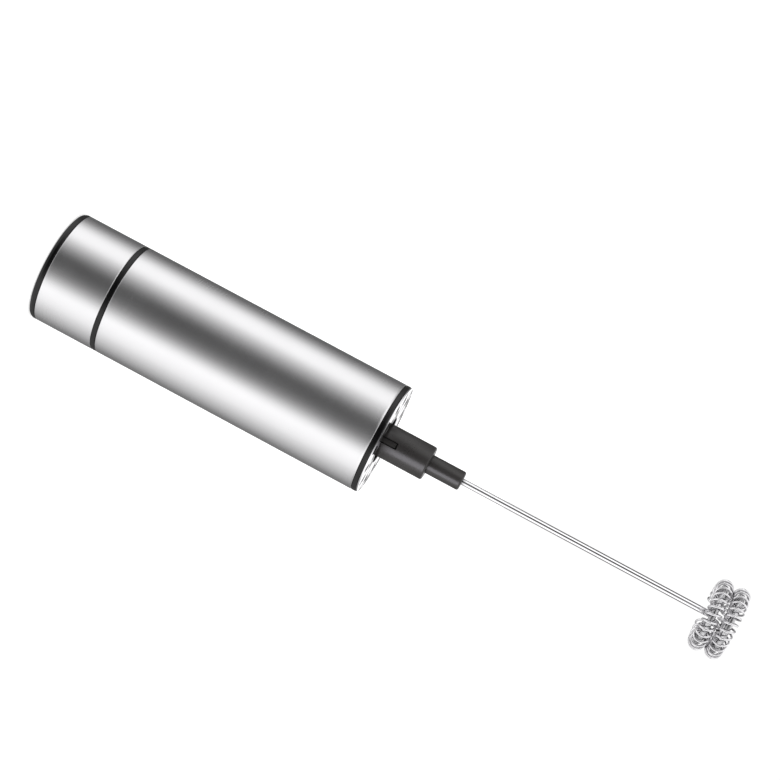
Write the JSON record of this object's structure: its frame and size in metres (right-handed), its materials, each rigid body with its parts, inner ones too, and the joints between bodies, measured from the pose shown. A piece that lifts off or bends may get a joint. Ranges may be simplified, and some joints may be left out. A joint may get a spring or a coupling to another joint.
{
  "type": "milk frother",
  "caption": "Slim handheld milk frother: steel tube handle with a pull-off battery cap and end button, perforated front plate, and a plug-in rod whisk with twin wire coil rings.",
  "frame": {"origin": "centre of the flat ring at the rear end, on the handle's axis, where the frother stands upright", "axes": "+Z along the handle's axis towards the whisk, -Y towards the key slot of the whisk hub, +X to the right seen from -Y"},
  "size_m": [0.032, 0.032, 0.2091],
  "materials": {
    "satin_steel": "satin stainless steel with fine lengthwise sheen",
    "polished_steel": "polished stainless steel",
    "spring_steel": "bright drawn stainless wire",
    "black_gloss": "glossy black ABS",
    "charcoal_plastic": "satin charcoal moulded plastic",
    "button_plastic": "satin black ABS",
    "inner_plastic": "moulded dark grey plastic",
    "white_nylon": "natural nylon",
    "brass": "bright stamped brass",
    "copper": "enamelled copper wire",
    "cell_sleeve": "plain green cell sleeve",
    "motor_steel": "zinc plated drawn steel",
    "screw_steel": "zinc plated steel",
    "magnet": "sintered ferrite",
    "lead_red": "PVC insulation",
    "lead_black": "PVC insulation"
  },
  "bodies": {
    "handle": {"body_tube": "satin_steel", "seam_ring": "black_gloss", "front_ring": "black_gloss", "front_plate": "polished_steel", "battery_housing": "inner_plastic", "battery_1": "cell_sleeve", "battery_2": "cell_sleeve", "front_contact_plate": "brass", "front_contact_spring": "spring_steel", "lead_red": "lead_red", "lead_black": "lead_black", "chassis_screw_1": "screw_steel", "chassis_screw_2": "screw_steel", "motor_cradle": "inner_plastic", "motor_can": "motor_steel", "motor_end_bell": "white_nylon", "motor_terminal_1": "brass", "motor_terminal_2": "brass", "motor_magnet_1": "magnet", "motor_magnet_2": "magnet"},
    "rotor": {"motor_shaft": "polished_steel", "rotor_core": "motor_steel", "rotor_winding_1": "copper", "rotor_winding_2": "copper", "rotor_winding_3": "copper", "commutator": "copper", "drive_coupler": "charcoal_plastic"},
    "whisk": {"whisk_hub": "charcoal_plastic", "rod_collar": "charcoal_plastic", "whisk_rod": "polished_steel", "whisk_coil_rear": "spring_steel", "whisk_coil_front": "spring_steel"},
    "battery_cap": {"cap_sleeve": "satin_steel", "rear_end_ring": "black_gloss", "cap_plug": "inner_plastic", "switch_body": "white_nylon", "switch_tab_1": "brass", "switch_tab_2": "brass", "cap_contact_plate": "brass", "cap_contact_spring": "spring_steel", "button_spring": "spring_steel"},
    "button": {"power_button": "button_plastic", "switch_plunger": "white_nylon"}
  },
  "joints": [
    {"name": "drive_spin", "type": "hinge", "parent": "handle", "child": "rotor", "pos_m": [0, 0, 0.1], "axis": [0, 0, 1], "continuous": true},
    {"name": "whisk_pull", "type": "slide", "parent": "rotor", "child": "whisk", "axis": [0, 0, 1], "range_m": [0, 0.0125]},
    {"name": "cap_pull", "type": "slide", "parent": "handle", "child": "battery_cap", "axis": [0, 0, -1], "range_m": [0, 0.014]},
    {"name": "power_press", "type": "slide", "parent": "battery_cap", "child": "button", "axis": [0, 0, 1], "range_m": [0, 0.0015], "stiffness_N_per_m": 600, "springref_m": -0.001, "deforming": ["button_spring"]}
  ]
}
